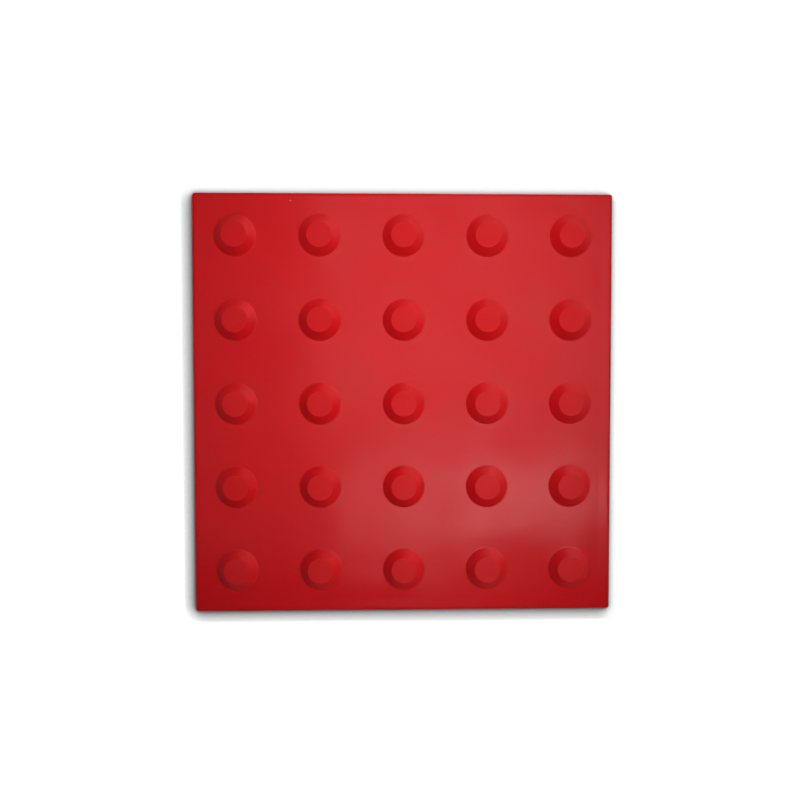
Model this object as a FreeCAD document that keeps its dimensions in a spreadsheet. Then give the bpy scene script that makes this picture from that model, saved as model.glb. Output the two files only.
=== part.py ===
# Tactile paving slab: one moulded piece, a thin square plate with a grid of flat-topped domes.
# Millimetres, +Z up. The origin is the middle of the flat back, the face that is bonded to the floor.

import FreeCAD
import Part
import Sketcher
import os

# Driving dimensions: name, value, meaning.
SIZES = (
    ("slab_side", 250.0, "length of each side of the square slab"),
    ("plate_thickness", 3.0, "thickness of the plate between the domes"),
    ("corner_radius", 1.5, "rounding of the four corners, seen from above"),
    ("edge_radius", 0.8, "rounding of the plate's top edge, all the way round"),
    ("dome_pitch", 50.0, "distance between the centres of neighbouring domes"),
    ("dome_base_diameter", 25.0, "diameter of a dome at the plate"),
    ("dome_top_diameter", 15.0, "diameter of a dome's flat top"),
    ("dome_height", 4.0, "height of a dome above the plate"),
    ("rim_break", 0.4, "narrow bevel that takes the edge off a dome's top"),
)

SLAB = "tactile_slab"

# Places that several features share, as expressions of the driving dimensions.
SLAB_EDGE = "sizes.slab_side / 2"
PLATE_TOP = "sizes.plate_thickness"
DOME_TOP = "(sizes.plate_thickness + sizes.dome_height)"
# As many domes in a row as whole pitches fit the side. The hundredth keeps a whole number whole.
DOMES_IN_ROW = "floor(sizes.slab_side / sizes.dome_pitch + 0.01)"
ROW_LENGTH = f"({DOMES_IN_ROW} - 1) * sizes.dome_pitch"

SKETCH_ORIGIN = (-1, 1)  # geometry and point number of a sketch's own origin
START, END = range(1, 3)  # point numbers of a line's two ends
FULL_TURN = 360.0
SIZE_OF = {"Fillet": "Radius", "Chamfer": "Size"}  # the property that sets each kind of dressed edge


def make_sheet(doc):
    """The spreadsheet of driving dimensions, one named cell each."""
    sheet = doc.addObject("Spreadsheet::Sheet", "sizes")
    for row, (name, value, meaning) in enumerate(SIZES, start=1):
        sheet.set(f"A{row}", name)
        sheet.set(f"B{row}", str(value))
        sheet.set(f"C{row}", meaning)
        sheet.setAlias(f"B{row}", name)
    doc.recompute()


def recompute(doc):
    """Recomputes the document and stops if any object failed."""
    doc.recompute()
    failed = [o.Label for o in doc.Objects if {"Invalid", "Error"} & set(o.State)]
    if failed:
        raise RuntimeError(f"these objects failed: {failed}")


def origin_feature(body, role):
    """One of the body's own base planes or axes."""
    return next(f for f in body.Origin.OriginFeatures if f.Role == role)


def new_sketch(body, name, plane):
    """An empty sketch lying on one of the body's base planes."""
    sketch = body.newObject("Sketcher::SketchObject", name)
    sketch.AttachmentSupport = [(origin_feature(body, plane), "")]
    sketch.MapMode = "FlatFace"
    return sketch


def closed_outline(sketch, corners):
    """Straight lines from corner to corner and back to the first, each corner tied to two expressions."""
    guesses = [FreeCAD.Vector(*(sketch.evalExpression(e) for e in corner), 0) for corner in corners]
    for number, here in enumerate(guesses):
        there = guesses[(number + 1) % len(guesses)]
        sketch.addGeometry(Part.LineSegment(here, there))
    for line, corner in enumerate(corners):
        following = (line + 1) % len(corners)
        sketch.addConstraint(Sketcher.Constraint("Coincident", line, END, following, START))
        for kind, expression in zip(("DistanceX", "DistanceY"), corner):
            value = sketch.evalExpression(expression)
            tie = Sketcher.Constraint(kind, *SKETCH_ORIGIN, line, START, value)
            sketch.setExpression(f"Constraints[{sketch.addConstraint(tie)}]", expression)


def same(one, other):
    """True for two lengths that agree as closely as the modeller works."""
    return abs(one - other) < Part.Precision.approximation()


def is_upright(edge):
    """True for a straight edge along Z."""
    return isinstance(edge.Curve, Part.Line) and same(edge.BoundBox.ZLength, edge.Length)


def is_level_line(edge, height):
    """True for a straight edge that lies at this height."""
    box = edge.BoundBox
    return isinstance(edge.Curve, Part.Line) and same(box.ZMin, height) and same(box.ZMax, height)


def is_level_circle(edge, height, radius):
    """True for a circle of this radius, with its centre at this height."""
    circle = edge.Curve
    return isinstance(circle, Part.Circle) and same(circle.Center.z, height) and same(circle.Radius, radius)


def dress_edges(doc, body, kind, name, size, test, *places):
    """A fillet or chamfer on every edge of the body so far that passes the test at these places."""
    recompute(doc)
    base = body.Tip
    values = [base.evalExpression(place) for place in places]
    edges = [f"Edge{i}" for i, edge in enumerate(base.Shape.Edges, start=1) if test(edge, *values)]
    if not edges:
        raise RuntimeError(f"{name} finds no edge")
    dressing = body.newObject(f"PartDesign::{kind}", name)
    dressing.Base = (base, edges)
    dressing.setExpression(SIZE_OF[kind], size)


def add_plate(doc, body):
    """The square plate, with its upright corners rounded and the edge taken off all round its top."""
    outline = new_sketch(body, "plate_outline", "XY_Plane")
    low = f"-{SLAB_EDGE}"
    closed_outline(outline, [(low, low), (SLAB_EDGE, low), (SLAB_EDGE, SLAB_EDGE), (low, SLAB_EDGE)])
    plate = body.newObject("PartDesign::Pad", "plate")
    plate.Profile = outline
    plate.setExpression("Length", PLATE_TOP)
    dress_edges(doc, body, "Fillet", "corners", "sizes.corner_radius", is_upright)
    dress_edges(doc, body, "Fillet", "top_edge", "sizes.edge_radius", is_level_line, PLATE_TOP)


def add_domes(doc, body):
    """One dome turned about its own axis at the grid's first corner, then repeated in rows and columns."""
    foot = "sizes.dome_base_diameter / 2"
    rim = "sizes.dome_top_diameter / 2"
    section = new_sketch(body, "dome_section", "XZ_Plane")
    section.setExpression(".AttachmentOffset.Base.x", f"-{ROW_LENGTH} / 2")
    section.setExpression(".AttachmentOffset.Base.z", f"{ROW_LENGTH} / 2")  # this plane's normal points to -Y
    closed_outline(section, [("0", PLATE_TOP), (foot, PLATE_TOP), (rim, DOME_TOP), ("0", DOME_TOP)])
    dome = body.newObject("PartDesign::Revolution", "dome")
    dome.Profile = section
    dome.ReferenceAxis = (section, ["V_Axis"])
    dome.Angle = FULL_TURN
    domes = body.newObject("PartDesign::LinearPattern", "domes")
    domes.Originals = [dome]
    for direction, axis in (("", "X_Axis"), ("2", "Y_Axis")):
        setattr(domes, f"Direction{direction}", (origin_feature(body, axis), [""]))
        setattr(domes, f"Mode{direction}", "Extent")
        domes.setExpression(f"Length{direction}", ROW_LENGTH)
        domes.setExpression(f"Occurrences{direction}", DOMES_IN_ROW)
    body.Tip = domes
    dress_edges(doc, body, "Chamfer", "rims", "sizes.rim_break", is_level_circle, DOME_TOP, rim)


def build_slab(doc):
    """The whole slab as one body."""
    body = doc.addObject("PartDesign::Body", SLAB)
    body.Label = SLAB
    add_plate(doc, body)
    add_domes(doc, body)
    recompute(doc)
    return body


def export(body):
    """Writes the piece to its own file, once it is one sound solid."""
    shape = body.Shape
    if shape.isNull() or not shape.isValid() or len(shape.Solids) != 1:
        raise RuntimeError(f"{body.Label} isn't one sound solid")
    os.makedirs("parts", exist_ok=True)
    shape.exportStep(f"parts/{body.Label}.step")
    box = shape.BoundBox
    size = f"{box.XLength:.2f} x {box.YLength:.2f} x {box.ZLength:.2f} mm"
    print(f"{body.Label}: {size}, {shape.Volume:.0f} mm3")


document = FreeCAD.newDocument("tactile_paving_slab")
make_sheet(document)
export(build_slab(document))
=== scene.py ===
"""Tactile paving slab: the moulded slab with its satin red finish, on a plain white studio floor."""

import math
from typing import NamedTuple

import bpy
from bpy.props import FloatProperty, FloatVectorProperty, IntProperty, PointerProperty
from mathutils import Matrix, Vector


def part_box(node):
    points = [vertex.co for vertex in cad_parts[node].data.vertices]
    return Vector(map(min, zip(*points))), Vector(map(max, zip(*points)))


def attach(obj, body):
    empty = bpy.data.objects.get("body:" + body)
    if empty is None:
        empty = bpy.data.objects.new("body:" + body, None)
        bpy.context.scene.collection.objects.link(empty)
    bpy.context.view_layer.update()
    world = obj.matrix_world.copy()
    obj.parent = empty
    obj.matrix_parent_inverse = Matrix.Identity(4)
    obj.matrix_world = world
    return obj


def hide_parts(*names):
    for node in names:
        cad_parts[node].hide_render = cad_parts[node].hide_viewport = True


bl_info = {
    "name": "Tactile Paving Slab",
    "version": (1, 0, 0),
    "blender": (4, 5, 0),
    "location": "3D View > Sidebar > Tactile Slab",
    "description": "Builds a moulded tactile paving slab with its finish, and the studio it is shown in",
    "category": "Add Mesh",
}

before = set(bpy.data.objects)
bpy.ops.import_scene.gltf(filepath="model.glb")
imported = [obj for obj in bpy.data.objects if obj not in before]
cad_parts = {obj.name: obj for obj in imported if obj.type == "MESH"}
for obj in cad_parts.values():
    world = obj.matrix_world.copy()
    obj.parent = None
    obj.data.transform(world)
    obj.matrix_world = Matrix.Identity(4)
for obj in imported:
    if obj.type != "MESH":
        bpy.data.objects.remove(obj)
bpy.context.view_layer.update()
SLAB_LOW, SLAB_HIGH = (Vector(corner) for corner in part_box("tactile_slab"))

MM = 0.001
WELD = 0.001 * MM  # points closer than this are one point


def length(name, description, millimetres):
    """A length that the user can change, shown in the scene's own unit."""
    return FloatProperty(
        name=name, description=description, default=millimetres * MM, min=0.0, precision=5,
        subtype="DISTANCE", unit="LENGTH",
    )


def count(name, description, default):
    """A whole number that the user can change."""
    return IntProperty(name=name, description=description, default=default, min=1)


def share(name, description, default):
    """A number from 0 to 1 that the user can change."""
    return FloatProperty(
        name=name, description=description, default=default, min=0.0, max=1.0, precision=3, subtype="FACTOR"
    )


def colour(name, description, default):
    """A colour that the user can change, as linear red, green and blue."""
    return FloatVectorProperty(
        name=name, description=description, default=default, size=3, min=0.0, max=1.0, subtype="COLOR"
    )


def power(name, description, watts):
    """A lamp's power that the user can change."""
    return FloatProperty(name=name, description=description, default=watts, min=0.0, unit="POWER")


class SlabShape(bpy.types.PropertyGroup):
    """Sizes of the moulded slab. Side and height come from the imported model."""

    side: length("Side", "Length of each side of the square slab", (SLAB_HIGH.x - SLAB_LOW.x) / MM)
    height: length("Height", "Overall height, from the back to the tops of the domes", SLAB_HIGH.z / MM)
    dome_height: length("Dome Height", "Height of a dome above the plate", 4.0)
    dome_pitch: length("Dome Pitch", "Distance between the centres of neighbouring domes", 50.0)
    dome_base: length("Dome Base", "Diameter of a dome where it meets the plate", 25.0)
    dome_top: length("Dome Top", "Diameter of a dome's flat top", 15.0)
    rim_rounding: length("Rim Rounding", "Radius of the edge round a dome's top", 0.6)
    foot_rounding: length("Foot Rounding", "Radius of the hollow where a dome meets the plate", 0.6)
    edge: length("Edge", "Radius of the plate's top edge, all the way round", 0.8)
    back_edge: length("Back Edge", "Radius of the edge round the back", 0.2)
    border: length("Border", "Width of the faint border, from the edge to the foot of its slope", 7.0)
    dip: length("Dip", "How far the field of domes lies below the border", 0.12)
    corner: length("Corner", "Radius of the slab's corners, seen from above", 1.5)
    sag: length("Sag", "Deepest that the moulded face dips between its high spots", 0.3)
    domes: count("Domes in a Row", "Number of domes along each side", 5)
    facets: count("Facets", "Flat steps round each dome; a multiple of eight", 112)
    seed: count("Seed", "Picks the pattern of dips in the moulded face", 3)


class SlabFinish(bpy.types.PropertyGroup):
    """Colours and gloss of the moulded red polymer."""

    red: colour("Red", "Colour of the pigmented polymer", (0.5, 0.004, 0.007))
    deep_red: colour("Deep Red", "Colour where the pigment lies thicker", (0.44, 0.003, 0.005))
    dust: colour("Dust", "Colour of the few pale specks", (0.62, 0.33, 0.31))
    shine: share("Shine", "Roughness of the plate, which came off the polished mould", 0.15)
    smear: share("Smear", "How much duller the handled patches are", 0.06)
    dome_dullness: share("Dome Dullness", "Roughness of the less polished domes and edge", 0.42)
    sheen: share("Sheen", "Strength of the gloss on the plate", 0.5)
    dome_sheen: share("Dome Sheen", "Share of that gloss on the tops of the domes", 0.9)
    slope_sheen: share("Slope Sheen", "Share of that gloss on the slopes of the domes and on the edge", 0.5)
    patchiness: share("Patchiness", "How much the gloss comes and goes in patches", 0.5)
    back_dullness: share("Back Dullness", "Roughness of the plain back", 0.75)


class Studio(bpy.types.PropertyGroup):
    """The floor, the lamps and the camera."""

    floor: colour("Floor", "Colour of the floor", (0.22, 0.22, 0.22))
    surround: share("Surround", "Strength of the dim light from all round", 0.02)
    key_power: power("Key", "Power of the soft lamp overhead, towards the far right", 0.62)
    side_power: power("Side", "Power of the soft lamp on the near right", 0.148)
    band_power: power("Band", "Power of the narrow card whose reflection lies on the near right", 0.26)
    panel_power: power("Panel", "Power of the card whose reflection lies on the near middle", 0.25)
    ceiling_power: power("Ceiling", "Power of the card whose reflection lies on the far right", 0.72)
    wall_power: power("Wall", "Power of the dim card whose reflection lies on the left", 0.165)
    window_power: power("Window", "Power of the low card that shows on the domes' far right slopes", 0.84)
    lens: FloatProperty(
        name="Lens", description="Focal length on a 36 mm sensor", default=31.55, min=1.0, unit="CAMERA"
    )


class Reading:
    """A number from a node's output. Sums and products of readings add Math nodes to their tree."""

    def __init__(self, bench, socket):
        self.bench = bench
        self.socket = socket

    def __add__(self, other):
        return self.bench.math("ADD", self, other)

    def __sub__(self, other):
        return self.bench.math("SUBTRACT", self, other)

    def __rsub__(self, other):
        return self.bench.math("SUBTRACT", other, self)

    def __mul__(self, other):
        return self.bench.math("MULTIPLY", self, other)

    def __truediv__(self, other):
        return self.bench.math("DIVIDE", self, other)

    def __rtruediv__(self, other):
        return self.bench.math("DIVIDE", other, self)

    def __pow__(self, other):
        return self.bench.math("POWER", self, other)


class Bench:
    """A node tree with short ways to add nodes and wire them."""

    COLUMN_STEP, ROW_STEP, ROWS = 190, 260, 7  # how the nodes are laid out in the editor

    def __init__(self, tree):
        self.tree = tree

    def add(self, kind, inputs=None, **settings):
        """Adds a node, sets its own settings, then feeds its inputs by name or number."""
        column, row = divmod(len(self.tree.nodes), self.ROWS)
        node = self.tree.nodes.new(kind)
        node.location = (column * self.COLUMN_STEP, -row * self.ROW_STEP)
        for name, value in settings.items():
            setattr(node, name, value)
        for name, value in (inputs or {}).items():
            self.feed(node.inputs[name], value)
        return node

    def feed(self, socket, value):
        """Wires a reading or an output to an input, or sets the input to a plain value."""
        if isinstance(value, Reading):
            value = value.socket
        if isinstance(value, bpy.types.NodeSocket):
            self.tree.links.new(value, socket)
        else:
            socket.default_value = value

    def read(self, node, output=0):
        """The reading that a node puts out."""
        return Reading(self, node.outputs[output])

    def math(self, operation, *values):
        """One Math node on plain numbers or readings."""
        return self.read(self.add("ShaderNodeMath", dict(enumerate(values)), operation=operation))

    def clamp(self, value):
        """The value, kept from 0 to 1."""
        return self.read(self.add("ShaderNodeClamp", {"Value": value}))

    def vector(self, operation, *values, **named):
        """One Vector Math node; returns its output socket."""
        inputs = dict(enumerate(values)) | {name.title(): value for name, value in named.items()}
        return self.add("ShaderNodeVectorMath", inputs, operation=operation).outputs[0]

    def measure(self, operation, one, other):
        """The number that a Vector Math node finds from two vectors."""
        node = self.add("ShaderNodeVectorMath", {0: one, 1: other}, operation=operation)
        return self.read(node, "Value")

    def point(self, x, y, z):
        """A point from its three coordinates."""
        return self.add("ShaderNodeCombineXYZ", {"X": x, "Y": y, "Z": z}).outputs[0]

    def parts(self, vector):
        """The three coordinates of a point."""
        node = self.add("ShaderNodeSeparateXYZ", {"Vector": vector})
        return tuple(self.read(node, axis) for axis in range(3))

    def pick(self, data_type, number, choices):
        """The choice with this number, from a list."""
        node = self.add("GeometryNodeIndexSwitch", data_type=data_type)
        while len(node.index_switch_items) < len(choices):
            node.index_switch_items.new()
        self.feed(node.inputs["Index"], number)
        for slot, choice in enumerate(choices, start=1):
            self.feed(node.inputs[slot], choice)
        return node.outputs[0]

    def place(self, geometry, position, selection=True):
        """Moves the selected points to these positions."""
        inputs = {"Geometry": geometry, "Selection": selection, "Position": position}
        return self.add("GeometryNodeSetPosition", inputs).outputs[0]

    def weld(self, geometry):
        """Joins the points that lie on each other."""
        return self.add("GeometryNodeMergeByDistance", {"Geometry": geometry, "Distance": WELD}).outputs[0]

    def index(self):
        """The number of the point itself."""
        return self.read(self.add("GeometryNodeInputIndex"))

    def position(self):
        """The place of the point itself."""
        return self.add("GeometryNodeInputPosition").outputs[0]


ARC_POINTS = 5  # points on the rounding of a section's corner
HOLD = 1.2 * MM  # distance of the ring that holds a flat beside a rounding
BACK_RING = 3.0 * MM  # distance of the ring that holds the flat back beside its edge
BORDER_SWEEP = 40.0 * MM  # radius of the soft bends at the foot and the head of the border's slope
CROWDING = 2.5  # how far the rows of points gather towards the corners
SAG_FADE = 20.0 * MM  # width over which the dips die out towards the edge
SAG_GRAIN = 17.0  # dips to the metre, about
SAG_DETAIL = 1.0  # finer layers in the pattern of dips
WHOLE_A, WHOLE_B = 2, 3  # sockets of a Compare node for whole numbers


def rounded_section(bench, corners):
    """A line through corners given as (out, up, rounding), with an arc at each that has a rounding."""
    ends = {"Start": (0.0, 0.0, 0.0), "End": (0.0, 0.0, 1.0)}
    straight = bench.add("GeometryNodeCurvePrimitiveLine", ends).outputs[0]
    stepped = bench.add("GeometryNodeResampleCurve", {"Curve": straight, "Count": len(corners)}).outputs[0]
    number = bench.index()
    places = bench.pick("VECTOR", number, [bench.point(out, 0.0, up) for out, up, _ in corners])
    roundings = bench.pick("FLOAT", number, [rounding for *_, rounding in corners])
    inputs = {
        "Curve": bench.place(stepped, places),
        "Count": ARC_POINTS,
        "Radius": roundings,
        "Limit Radius": True,
    }
    return bench.add("GeometryNodeFilletCurve", inputs, mode="POLY").outputs[0]


def section_points(bench, section):
    """The number of points along a section."""
    counted = bench.add("GeometryNodeAttributeDomainSize", {"Geometry": section}, component="CURVE")
    return bench.read(counted, "Point Count")


def along_section(bench, section, number):
    """How far out and how high the numbered point of a section is."""
    inputs = {"Geometry": section, "Value": bench.position(), "Index": number}
    sampled = bench.add("GeometryNodeSampleIndex", inputs, data_type="FLOAT_VECTOR")
    out, _, up = bench.parts(sampled.outputs[0])
    return out, up


def dome_cell(bench, size):
    """One square cell of the grid: a dome turned about its axis, with the plate round it drawn square."""
    plate = size["height"] - size["dome_height"] - size["dip"]
    foot = size["dome_base"] / 2
    rim = size["dome_top"] / 2
    half_cell = size["dome_pitch"] / 2
    clear = foot + HOLD
    margin = half_cell - clear
    section = rounded_section(bench, [
        (0.0, size["height"], 0.0),
        (rim / 2, size["height"], 0.0),
        (rim - HOLD, size["height"], 0.0),
        (rim, size["height"], size["rim_rounding"]),
        ((rim + foot) / 2, (plate + size["height"]) / 2, 0.0),
        (foot, plate, size["foot_rounding"]),
        (clear, plate, 0.0),
        (clear + margin / 3, plate, 0.0),
        (clear + margin * 2 / 3, plate, 0.0),
        (half_cell, plate, 0.0),
    ])
    rings = section_points(bench, section)
    inputs = {"Vertices X": size["facets"] + 1, "Vertices Y": rings}
    sheet = bench.add("GeometryNodeMeshGrid", inputs).outputs[0]
    number = bench.index()
    clockwise = -math.tau  # turned this way round, the faces look up
    turn = bench.math("FLOOR", number / rings) / size["facets"] * clockwise
    out, up = along_section(bench, section, bench.math("MODULO", number, rings))
    cosine = bench.math("COSINE", turn)
    sine = bench.math("SINE", turn)
    longer = bench.math("MAXIMUM", bench.math("ABSOLUTE", cosine), bench.math("ABSOLUTE", sine))
    squareness = bench.clamp((out - clear) / margin) ** 2
    reach = out + squareness * (half_cell / longer - half_cell)
    turned = bench.place(sheet, bench.point(reach * cosine, reach * sine, up))
    return bench.weld(turned)


def dome_field(bench, size, flat_end):
    """The field of domes: a cell at every place of the grid, the outer rows drawn in to the border."""
    steps = size["domes"] - 1
    row = steps * size["dome_pitch"]
    inputs = {"Size X": row, "Size Y": row, "Vertices X": size["domes"], "Vertices Y": size["domes"]}
    stations = bench.add("GeometryNodeMeshGrid", inputs).outputs[0]
    inputs = {"Points": stations, "Instance": dome_cell(bench, size)}
    cells = bench.add("GeometryNodeInstanceOnPoints", inputs).outputs[0]
    field = bench.weld(bench.add("GeometryNodeRealizeInstances", {"Geometry": cells}).outputs[0])

    last_foot = row / 2 + size["dome_base"] / 2 + HOLD
    outer_width = size["domes"] * size["dome_pitch"] / 2 - last_foot
    x, y, z = bench.parts(bench.position())

    def drawn_in(coordinate):
        """A coordinate past the last dome, brought in to the border, with the points gathered there."""
        reach = bench.math("ABSOLUTE", coordinate)
        still_to_go = 1.0 - bench.clamp((reach - last_foot) / outer_width)
        gathered = (1.0 - still_to_go ** CROWDING) * (flat_end - last_foot)
        return (bench.math("MINIMUM", reach, last_foot) + gathered) * bench.math("SIGN", coordinate)

    return bench.place(field, bench.point(drawn_in(x), drawn_in(y), z))


def rolled_edge(bench, size, field, flat_end):
    """The border, sides and back: rings drawn from the rim of the field, one for each section point."""
    half_side = size["side"] / 2
    plate = size["height"] - size["dome_height"]
    section = rounded_section(bench, [
        (flat_end, plate - size["dip"], 0.0),
        (half_side - size["border"], plate - size["dip"], BORDER_SWEEP),
        (half_side - size["edge"] - HOLD, plate, BORDER_SWEEP),
        (half_side, plate, size["edge"]),
        (half_side, 0.0, size["back_edge"]),
        (half_side - BACK_RING, 0.0, 0.0),
        (0.0, 0.0, 0.0),
    ])
    plan = bench.vector("MULTIPLY", bench.position(), (1.0, 1.0, 0.0))
    inputs = {"Geometry": field, "Name": "plan", "Value": bench.vector("SCALE", plan, scale=1.0 / flat_end)}
    marked = bench.add("GeometryNodeStoreNamedAttribute", inputs, data_type="FLOAT_VECTOR").outputs[0]

    inputs = {"Iterations": section_points(bench, section) - 1.0, "Geometry": marked}
    start = bench.add("GeometryNodeRepeatInput")
    end = bench.add("GeometryNodeRepeatOutput")
    start.pair_with_output(end)
    for name, value in inputs.items():
        bench.feed(start.inputs[name], value)

    out, up = along_section(bench, section, bench.read(start, "Iteration") + 1.0)
    rounding = bench.math("MAXIMUM", out - half_side + size["corner"], 0.0)
    straight = out - rounding
    stored = bench.add("GeometryNodeInputNamedAttribute", {"Name": "plan"}, data_type="FLOAT_VECTOR")
    plan = stored.outputs[0]
    square = bench.vector("SCALE", bench.vector("ABSOLUTE", plan), scale=out)
    inner = bench.vector("MINIMUM", square, bench.point(straight, straight, straight))
    outward = bench.vector("NORMALIZE", bench.vector("SUBTRACT", square, inner))
    cornered = bench.vector("ADD", inner, bench.vector("SCALE", outward, scale=rounding))
    x, y, _ = bench.parts(bench.vector("MULTIPLY", cornered, bench.vector("SIGN", plan)))

    faces = bench.read(bench.add("GeometryNodeInputMeshEdgeNeighbors"))
    inputs = {WHOLE_A: faces, WHOLE_B: 1}
    is_open = bench.add("FunctionNodeCompare", inputs, data_type="INT", operation="EQUAL").outputs[0]
    inputs = {"Mesh": start.outputs["Geometry"], "Selection": is_open, "Offset Scale": 0.0}
    drawn = bench.add("GeometryNodeExtrudeMesh", inputs, mode="EDGES")
    ring = bench.place(drawn.outputs["Mesh"], bench.point(x, y, up), drawn.outputs["Top"])
    bench.feed(end.inputs["Geometry"], ring)

    closed = bench.weld(end.outputs["Geometry"])
    return bench.add("GeometryNodeRemoveAttribute", {"Geometry": closed, "Name": "plan"}).outputs[0]


def moulded_dips(bench, size, slab, flat_end):
    """Lets the top face dip a little here and there, as a thin moulding does when it cools."""
    position = bench.position()
    x, y, z = bench.parts(position)
    reach = bench.math("MAXIMUM", bench.math("ABSOLUTE", x), bench.math("ABSOLUTE", y))
    inside = bench.clamp((flat_end - reach) / SAG_FADE)
    on_top = bench.math("GREATER_THAN", z, (size["height"] - size["dome_height"]) / 2)
    inputs = {"Vector": position, "W": size["seed"], "Scale": SAG_GRAIN, "Detail": SAG_DETAIL}
    hollow = bench.read(bench.add("ShaderNodeTexNoise", inputs, noise_dimensions="4D"))
    drop = bench.point(0.0, 0.0, hollow * inside * on_top * size["sag"] * -1.0)
    return bench.add("GeometryNodeSetPosition", {"Geometry": slab, "Offset": drop}).outputs[0]


SOCKET_OF = {FloatProperty: "NodeSocketFloat", IntProperty: "NodeSocketInt"}


def shape_labels():
    """The name that each size of the shape is shown by, under its key."""
    return {key: made.keywords["name"] for key, made in SlabShape.__annotations__.items()}


def slab_tree():
    """The slab as a node tree, with one input for each size of the shape and one for the material."""
    tree = bpy.data.node_groups.new("moulded slab", "GeometryNodeTree")
    tree.interface.new_socket("Geometry", in_out="OUTPUT", socket_type="NodeSocketGeometry")
    for made in SlabShape.__annotations__.values():
        kind = SOCKET_OF[made.function]
        tree.interface.new_socket(made.keywords["name"], in_out="INPUT", socket_type=kind)
    tree.interface.new_socket("Material", in_out="INPUT", socket_type="NodeSocketMaterial")

    bench = Bench(tree)
    given = bench.add("NodeGroupInput")
    size = {key: bench.read(given, label) for key, label in shape_labels().items()}
    flat_end = size["side"] / 2 - size["border"] - HOLD
    field = dome_field(bench, size, flat_end)
    slab = moulded_dips(bench, size, rolled_edge(bench, size, field, flat_end), flat_end)
    smooth = bench.add("GeometryNodeSetShadeSmooth", {"Geometry": slab}).outputs[0]
    whole = bench.add("GeometryNodeRealizeInstances", {"Geometry": smooth}).outputs[0]
    inputs = {"Geometry": whole, "Material": given.outputs["Material"]}
    finished = bench.add("GeometryNodeSetMaterial", inputs)
    bench.add("NodeGroupOutput", {"Geometry": finished.outputs[0]})
    return tree


def grown_mesh(name, tree, values):
    """The plain mesh that a node tree makes from these input values."""
    seedling = bpy.data.objects.new(name, bpy.data.meshes.new(name))
    bpy.context.scene.collection.objects.link(seedling)
    modifier = seedling.modifiers.new(name, "NODES")
    modifier.node_group = tree
    for item in tree.interface.items_tree:
        if item.in_out == "INPUT":
            modifier[item.identifier] = values[item.name]
    evaluated = seedling.evaluated_get(bpy.context.evaluated_depsgraph_get())
    mesh = bpy.data.meshes.new_from_object(evaluated)
    while mesh.materials[0] is None:  # a slot without a material, which the nodes leave in front
        mesh.materials.pop(index=0)
    seedling.modifiers.remove(modifier)
    bpy.data.objects.remove(seedling)
    return mesh


GRAIN_FINE = 1500.0  # pattern steps to the metre, here and below
GRAIN_PEEL = 330.0
RIPPLE_BROAD = 32.0
PATCH_BROAD = 28.0
TONE_BROAD = 14.0
SMEAR_BROAD = 9.0
SPECK_CELLS = 45.0
SPECK_SIZE = 0.016  # as a share of a speck's cell
SPECK_RARITY = 0.82  # share of the cells that have no speck
TONE_MOTTLE = 0.7  # how far the broad tone deepens the red
GRAIN_MOTTLE = 0.8  # how far the fine grain does
GRAIN_START = 0.4  # the grain's value at which it starts to
PATTERN_MIDDLE = 0.5  # mean value of a soft random pattern
RIPPLE_DETAIL = 0.5  # finer layers in the pattern of ripples
BACK_TOP = 0.1 * MM  # faces lower than this are the back
DOME_BLEND = 0.8 * MM  # height over which the plate's shine turns into the domes'
GRAIN_HEIGHT = 0.006 * MM
PEEL_HEIGHT = 0.012 * MM
RIPPLE_HEIGHT = 0.40 * MM
FLAT_FROM, FLAT_BLEND = 0.90, 0.08  # how level a face is, as its normal's height, to count as flat
MIX_SOCKETS = (0, 6, 7)  # the factor and the two colours of a Mix node
MIX_COLOUR = 2  # the socket where its colour comes out


def noise(bench, place, scale, detail=2.0):
    """A soft random pattern of this many steps to the metre."""
    inputs = {"Vector": place, "Scale": scale, "Detail": detail}
    return bench.read(bench.add("ShaderNodeTexNoise", inputs))


def blended(bench, factor, plain, other):
    """A colour between two others."""
    node = bench.add("ShaderNodeMix", data_type="RGBA")
    for socket, value in zip(MIX_SOCKETS, (factor, plain, other)):
        bench.feed(node.inputs[socket], value)
    return node.outputs[MIX_COLOUR]


def opaque(rgb):
    """A colour with full alpha, as a node's socket wants it."""
    return (*rgb, 1.0)


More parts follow.
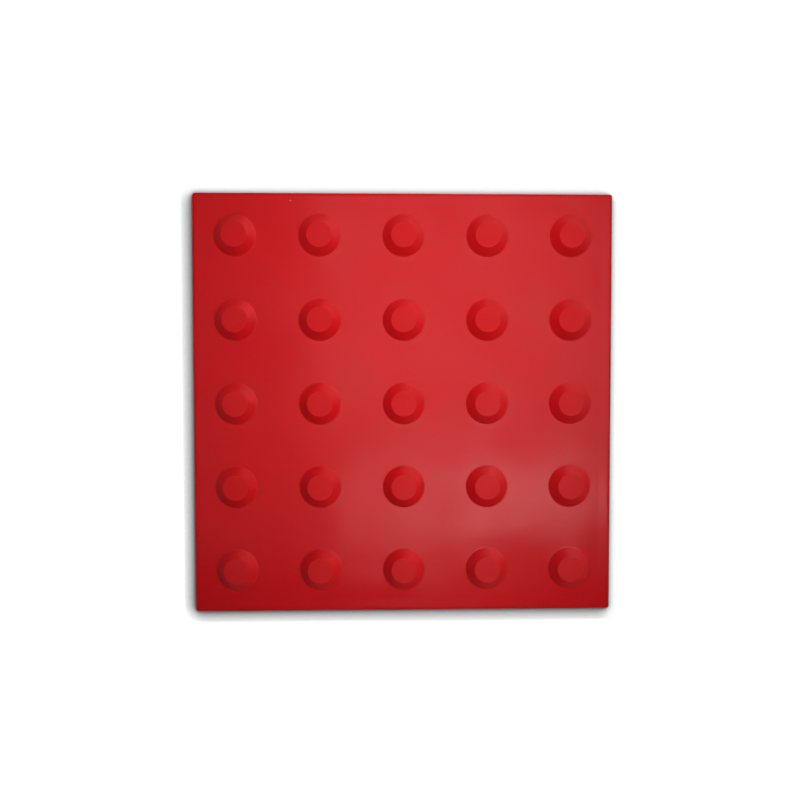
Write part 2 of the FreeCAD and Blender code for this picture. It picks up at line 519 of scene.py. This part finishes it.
def polymer(finish, plate_top):
    """Pigmented red polymer as moulded: faintly mottled, with a fine peel, a few specks and a dull back."""
    material = bpy.data.materials.new("red moulded polymer")
    material.use_nodes = True
    bench = Bench(material.node_tree)
    shader = material.node_tree.nodes["Principled BSDF"]
    coordinates = bench.add("ShaderNodeTexCoord")
    place = coordinates.outputs["Object"]
    _, _, up = bench.parts(place)
    _, _, levelness = bench.parts(coordinates.outputs["Normal"])

    grain = noise(bench, place, GRAIN_FINE)
    tone = noise(bench, place, TONE_BROAD)
    mottled = bench.clamp(tone * TONE_MOTTLE + (grain - GRAIN_START) * GRAIN_MOTTLE)
    pigment = blended(bench, mottled, opaque(finish.red), opaque(finish.deep_red))

    cells = bench.add("ShaderNodeTexVoronoi", {"Vector": place, "Scale": SPECK_CELLS})
    chance, closeness, _ = bench.parts(cells.outputs["Color"])
    is_speck = bench.math("GREATER_THAN", chance, SPECK_RARITY)
    near = bench.clamp(1.0 - bench.read(cells, "Distance") / (closeness * SPECK_SIZE + SPECK_SIZE))
    bench.feed(shader.inputs["Base Color"], blended(bench, is_speck * near, pigment, opaque(finish.dust)))

    smeared = noise(bench, place, SMEAR_BROAD) * finish.smear
    back = bench.math("LESS_THAN", up, BACK_TOP)
    level = bench.clamp((levelness - FLAT_FROM) / FLAT_BLEND)
    raised = bench.clamp((up - plate_top) / DOME_BLEND)
    unpolished = 1.0 - level * (1.0 - raised)
    duller_back = back * (finish.back_dullness - finish.dome_dullness)
    duller_domes = unpolished * (finish.dome_dullness - finish.shine)
    bench.feed(shader.inputs["Roughness"], smeared + finish.shine + duller_back + duller_domes)

    patch = noise(bench, place, PATCH_BROAD) / PATTERN_MIDDLE - 1.0
    patches = patch * finish.patchiness + 1.0
    top_share = raised * (finish.dome_sheen - 1.0) + 1.0
    slope_share = (1.0 - level) * (finish.slope_sheen - 1.0) + 1.0
    bench.feed(shader.inputs["Specular IOR Level"], patches * top_share * slope_share * finish.sheen)

    peel = noise(bench, place, GRAIN_PEEL)
    ripple = noise(bench, place, RIPPLE_BROAD, RIPPLE_DETAIL)
    relief = grain * GRAIN_HEIGHT + peel * PEEL_HEIGHT + ripple * RIPPLE_HEIGHT
    bump = bench.add("ShaderNodeBump", {"Height": relief, "Strength": 1.0, "Distance": 1.0})
    bench.feed(shader.inputs["Normal"], bump.outputs[0])
    return material


class TACTILE_OT_slab(bpy.types.Operator):
    """Make the moulded slab, with its domes, rounded edge and finish"""

    bl_idname = "tactile.slab"
    bl_label = "Moulded Slab"

    def execute(self, context):
        shape = context.scene.slab_shape
        values = {label: getattr(shape, key) for key, label in shape_labels().items()}
        values["Material"] = polymer(context.scene.slab_finish, shape.height - shape.dome_height)
        slab = bpy.data.objects.new("moulded_slab", grown_mesh("moulded_slab", slab_tree(), values))
        context.scene.collection.objects.link(slab)
        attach(slab, "root")
        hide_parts("tactile_slab")
        return {"FINISHED"}


FLOOR_SIZE = 30.0  # in metres
FLOOR_DROP = 0.05 * MM  # keeps the floor clear of the slab's back
SENSOR_WIDTH = 36.0  # in millimetres, as the lens is
CAMERA_PLACE = Vector((-11.5, 15.9, 423.0)) * MM
CAMERA_TURN = [math.radians(angle) for angle in (-1.87, -1.264, -0.061)]
CAMERA_NEAREST = 1.0 * MM  # what is closer to the camera isn't drawn
KEY_BEAM = math.radians(89.6)  # full angles of the lamps' beams
SIDE_BEAM = math.radians(48.2)


class Lamp(NamedTuple):
    """A soft lamp that lights, or a card that only a gloss shows. Both are rectangles, in metres."""

    name: str
    place: tuple
    aim: tuple
    size: tuple
    is_card: bool = True
    beam: float = math.pi  # full angle of the beam, in radians

    def watts(self, studio):
        """The lamp's power, as the studio has it."""
        return getattr(studio, f"{self.name}_power")


LAMPS = (
    Lamp("key", (0.068, 0.177, 0.408), (-0.008, 0.065, 0.0), (0.22, 0.22), False, KEY_BEAM),
    Lamp("side", (0.266, -0.266, 0.381), (0.007, -0.116, 0.0), (0.30, 0.30), False, SIDE_BEAM),
    Lamp("band", (0.265, -0.212, 0.95), (0.265, -0.212, 0.0), (0.27, 0.115)),
    Lamp("panel", (0.042, -0.234, 0.95), (0.042, -0.234, 0.0), (0.274, 0.193)),
    Lamp("ceiling", (0.142, 0.135, 0.95), (0.142, 0.135, 0.0), (0.594, 0.49)),
    Lamp("wall", (-0.243, 0.028, 0.95), (-0.243, 0.028, 0.0), (0.336, 0.746)),
    Lamp("window", (0.30, 0.36, 0.178), (0.0, 0.0, 0.0), (0.72, 0.15)),
)
PAINTED_SHADOW_REACH = 8.2 * MM  # how far the painted shadow round the slab's foot reaches
PAINTED_SHADOW_DEPTH = 6.0  # how steeply the painted shadow darkens
PAINTED_SHADOW_LEAN = (0.32, 0.32, 0.89)  # the side the painted shadow is cast from, so that it lies darker on the slab's left and near sides
FLOOR_WHITE = 1.05  # brightness of the open floor, with a little to spare
BACKDROP_TOP, BACKDROP_FADE = 0.5, 0.2  # where the white round the horizon ends, as a direction's height
BACKDROP_BRIGHT = (0.71, 0.71, 0.0)  # the side on which a gloss shows it in full; opposite, the room is dim
BACKDROP_FALL = 2.0  # how fast it dims from the one side to the other
BACKDROP_DIM = 0.4  # how much of it is left there


def seen_directly(bench, in_gloss=1.0):
    """1 for what is seen straight or through a clear thing, in_gloss for a gloss, 0 for thrown light."""
    path = bench.add("ShaderNodeLightPath")
    kinds = ("Camera", "Glossy", "Transmission")
    straight, glossy, clear = (bench.read(path, f"Is {kind} Ray") for kind in kinds)
    return bench.clamp(straight + clear + glossy * in_gloss)


def lamp_light(bench, place, lamp, watts):
    """The light that a lamp throws on the open floor at a place, where 1 shows a white floor as white."""
    away = bench.measure("DISTANCE", place, lamp.place)
    facing = (Vector(lamp.place) - Vector(lamp.aim)).normalized()
    towards = bench.vector("SUBTRACT", lamp.place, place)
    along = bench.measure("DOT_PRODUCT", towards, facing)
    at_a_metre = watts / (4 * math.pi)  # on a floor that faces the lamp squarely
    light = along * (at_a_metre * lamp.place[2]) / away ** 4.0  # less by both slants and the distance
    if lamp.beam < math.pi:
        half = lamp.beam / 2
        widest = math.tan(half)
        slant = bench.math("SQRT", (away / along) ** 2.0 - 1.0)
        gathered = widest / (widest - half)  # a narrow beam is brighter in its middle
        light = light * bench.clamp(1.0 - slant / widest) * gathered
    return light


def floor_material(studio):
    """Matt floor that adds what the lamps' light lacks of white, so that only shadows show on it: the
    lamps' real shadows, and a painted shadow round the slab's foot that dims the added white.
    """
    material = bpy.data.materials.new("white studio floor")
    material.use_nodes = True
    bench = Bench(material.node_tree)
    shader = material.node_tree.nodes["Principled BSDF"]
    shader.inputs["Base Color"].default_value = opaque(studio.floor)
    shader.inputs["Roughness"].default_value = 1.0
    shader.inputs["Specular IOR Level"].default_value = 0.0
    shader.inputs["Emission Color"].default_value = (1.0, 1.0, 1.0, 1.0)
    place = bench.add("ShaderNodeTexCoord").outputs["Object"]
    lit = studio.surround
    for lamp in LAMPS:
        if not lamp.is_card:
            lit = lamp_light(bench, place, lamp, lamp.watts(studio)) + lit
    missing = bench.clamp(FLOOR_WHITE - lit * studio.floor[0])
    # painted shadow: ambient occlusion, leaning to one side, dims the floor's added white round the slab's
    # foot
    inputs = {"Distance": PAINTED_SHADOW_REACH, "Normal": bench.point(*PAINTED_SHADOW_LEAN)}
    painted_shadow_openness = bench.read(bench.add("ShaderNodeAmbientOcclusion", inputs), "AO") ** PAINTED_SHADOW_DEPTH
    bench.feed(shader.inputs["Emission Strength"], seen_directly(bench) * missing * painted_shadow_openness)
    return material


def light_surround(scene, studio):
    """A dim even light from all round, with a backdrop round the horizon that is seen as white."""
    scene.world = bpy.data.worlds.new("white surround")
    scene.world.use_nodes = True
    bench = Bench(scene.world.node_tree)
    background = scene.world.node_tree.nodes["Background"]
    background.inputs["Color"].default_value = (1.0, 1.0, 1.0, 1.0)
    direction = bench.add("ShaderNodeTexCoord").outputs["Generated"]
    _, _, rise = bench.parts(direction)
    backdrop = bench.clamp((BACKDROP_TOP + BACKDROP_FADE - rise) / BACKDROP_FADE)
    bright_side = (bench.measure("DOT_PRODUCT", direction, BACKDROP_BRIGHT) + 1.0) / 2
    brightness = bright_side ** BACKDROP_FALL
    in_gloss = brightness * (1.0 - BACKDROP_DIM) + BACKDROP_DIM
    white = seen_directly(bench, in_gloss) * backdrop * (1.0 - studio.surround)
    bench.feed(background.inputs["Strength"], white + studio.surround)


class TACTILE_OT_stage(bpy.types.Operator):
    """Make the floor, the lamps and the camera"""

    bl_idname = "tactile.stage"
    bl_label = "Studio"

    def execute(self, context):
        scene = context.scene
        studio = scene.slab_studio
        self.lay_floor(scene, studio)
        light_surround(scene, studio)
        for lamp in LAMPS:
            self.hang_lamp(scene, lamp, lamp.watts(studio))
        self.set_camera(scene, studio)
        scene.view_settings.view_transform = "Standard"
        return {"FINISHED"}

    def lay_floor(self, scene, studio):
        """A wide flat floor, just under the slab's back."""
        half = FLOOR_SIZE / 2
        outline = ((-half, -half), (half, -half), (half, half), (-half, half))
        corners = [(x, y, -FLOOR_DROP) for x, y in outline]
        mesh = bpy.data.meshes.new("floor")
        mesh.from_pydata(corners, [], [range(len(corners))])
        mesh.materials.append(floor_material(studio))
        floor = bpy.data.objects.new("floor", mesh)
        scene.collection.objects.link(floor)

    def hang_lamp(self, scene, lamp, watts):
        """A lamp or a card at its place, turned to what it is aimed at."""
        light = bpy.data.lights.new(lamp.name, "AREA")
        light.shape = "RECTANGLE"
        light.size, light.size_y = lamp.size
        light.spread = lamp.beam
        light.energy = watts
        light.cycles.use_multiple_importance_sampling = lamp.is_card
        hung = bpy.data.objects.new(lamp.name, light)
        hung.location = lamp.place
        hung.rotation_euler = (Vector(lamp.aim) - hung.location).to_track_quat("-Z", "Y").to_euler()
        hung.visible_camera = False
        hung.visible_glossy = lamp.is_card
        hung.visible_diffuse = not lamp.is_card
        scene.collection.objects.link(hung)

    def set_camera(self, scene, studio):
        """The camera over the slab, where the photo was taken from."""
        camera = bpy.data.cameras.new("camera")
        camera.sensor_width = SENSOR_WIDTH
        camera.lens = studio.lens
        camera.clip_start = CAMERA_NEAREST
        eye = bpy.data.objects.new("camera", camera)
        eye.location = CAMERA_PLACE
        eye.rotation_euler = CAMERA_TURN
        scene.collection.objects.link(eye)
        scene.camera = eye


class TACTILE_PT_sidebar(bpy.types.Panel):
    """Sizes, finish and studio of the tactile slab, with the buttons that build them"""

    bl_idname = "TACTILE_PT_sidebar"
    bl_label = "Tactile Slab"
    bl_space_type = "VIEW_3D"
    bl_region_type = "UI"
    bl_category = "Tactile Slab"

    def draw(self, context):
        for settings, operators in PANEL_ROWS:
            group = getattr(context.scene, settings)
            box = self.layout.box()
            for key in group.bl_rna.properties.keys():
                if key not in ("rna_type", "name"):
                    box.prop(group, key)
            for operator in operators:
                box.operator(operator)


GROUPS = {"slab_shape": SlabShape, "slab_finish": SlabFinish, "slab_studio": Studio}
OPERATORS = (TACTILE_OT_slab, TACTILE_OT_stage)
PANEL_ROWS = (("slab_shape", ()), ("slab_finish", ("tactile.slab",)), ("slab_studio", ("tactile.stage",)))


def register():
    """Adds the settings, the operators and the panel to Blender."""
    for settings, group in GROUPS.items():
        bpy.utils.register_class(group)
        setattr(bpy.types.Scene, settings, PointerProperty(type=group))
    for kind in (*OPERATORS, TACTILE_PT_sidebar):
        bpy.utils.register_class(kind)


def unregister():
    """Takes them out again."""
    for kind in reversed((*OPERATORS, TACTILE_PT_sidebar)):
        bpy.utils.unregister_class(kind)
    for settings, group in GROUPS.items():
        delattr(bpy.types.Scene, settings)
        bpy.utils.unregister_class(group)


def main():
    """Builds the slab and the stage."""
    register()
    bpy.ops.tactile.slab()
    bpy.ops.tactile.stage()


if __name__ == "__main__":
    main()
